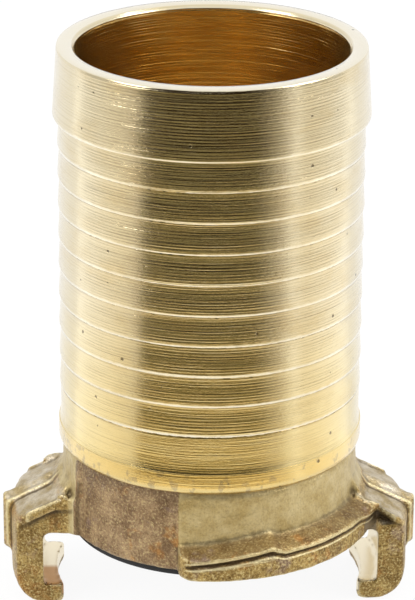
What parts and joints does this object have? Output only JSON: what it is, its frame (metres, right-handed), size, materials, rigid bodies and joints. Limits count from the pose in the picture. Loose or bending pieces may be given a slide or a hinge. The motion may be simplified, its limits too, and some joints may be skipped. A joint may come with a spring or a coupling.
{
  "type": "claw hose coupling half",
  "caption": "Half of a quarter turn fire hose coupling: two hooked claws and two inclined ledges round a water way, a rubber face seal and a toothed hose tail.",
  "frame": {"origin": "on the water way's axis, at the plane that the feet of the two claws stand on", "axes": "+Z along the water way's axis, up the hose tail; the two claws lie on +X and -X"},
  "size_m": [0.0532, 0.0426, 0.0731],
  "materials": {
    "forged_brass": "hot forged and shot blasted head, fine turned tail and bore, uncoated",
    "seal_rubber": "smooth moulded black rubber"
  },
  "bodies": {
    "root": {"coupling_body": "forged_brass", "face_seal": "seal_rubber"}
  },
  "joints": []
}
